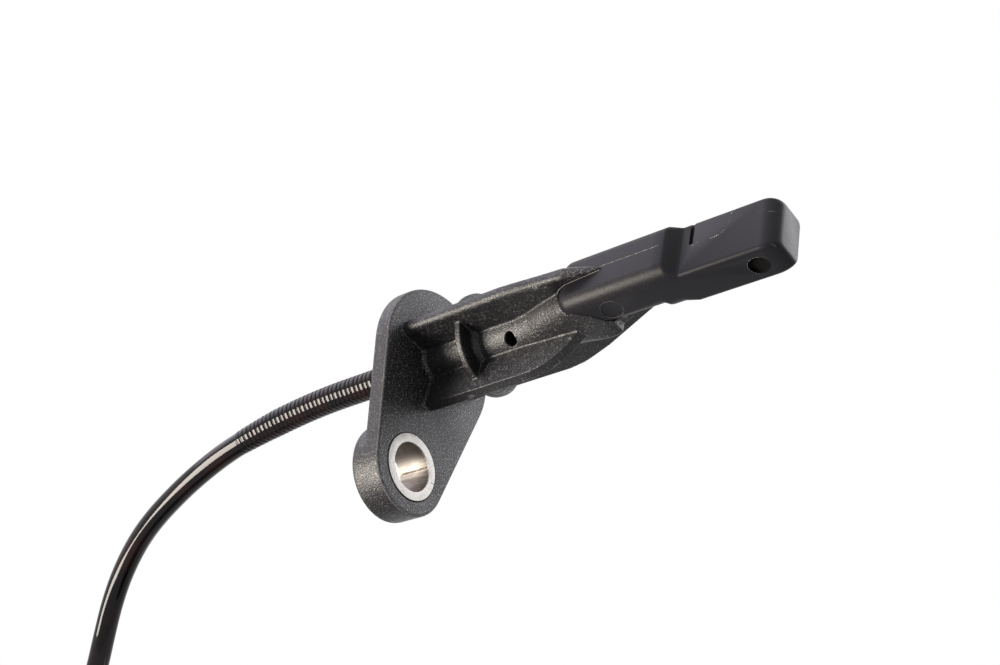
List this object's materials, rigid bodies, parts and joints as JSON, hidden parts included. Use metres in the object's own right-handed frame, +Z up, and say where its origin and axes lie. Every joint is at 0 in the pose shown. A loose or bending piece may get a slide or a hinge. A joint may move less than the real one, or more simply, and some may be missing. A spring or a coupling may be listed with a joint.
{
  "type": "abs wheel speed sensor",
  "caption": "Wheel speed sensor: smooth sensing bar on a finned body, eared flange with a split metal bushing, ribbed bend relief, and a thin cable with a coil and a two-way plug.",
  "frame": {"origin": "on the finned body's axis, in the plane of the flange's front face", "axes": "+X along the body to the sensing tip, +Z up, away from the ear, +Y completes the frame"},
  "size_m": [0.1696, 0.0558, 0.1434],
  "materials": {
    "overmould": "fine spark-eroded grain",
    "carrier_plastic": "satin, smooth",
    "tinned_steel": "bright rolled strip",
    "chip_epoxy": "moulded epoxy",
    "jacket": "glossy jacket",
    "plug_plastic": "fine grain",
    "boot_rubber": "satin rubber",
    "lock_plastic": "satin",
    "tinned_copper": "bright plated",
    "copper": "plain",
    "wire_white": "plain insulation",
    "wire_black": "plain insulation",
    "seal_rubber": "silicone"
  },
  "bodies": {
    "root": {"flange_body": "overmould", "sensor_carrier": "carrier_plastic", "mounting_bushing": "tinned_steel", "sensing_chip": "chip_epoxy", "capacitor": "chip_epoxy", "bend_relief": "jacket", "cable": "jacket", "cable_coil": "jacket", "cable_tail": "jacket", "coil_tie": "plug_plastic", "plug_housing": "plug_plastic", "plug_boot": "boot_rubber", "terminal_lock": "lock_plastic", "lead_a": "tinned_copper", "crimp_a": "copper", "inner_wire_a": "wire_white", "plug_blade_a": "tinned_copper", "wire_seal_a": "seal_rubber", "plug_wire_a": "wire_white", "lead_b": "tinned_copper", "crimp_b": "copper", "inner_wire_b": "wire_black", "plug_blade_b": "tinned_copper", "wire_seal_b": "seal_rubber", "plug_wire_b": "wire_black"}
  },
  "joints": []
}
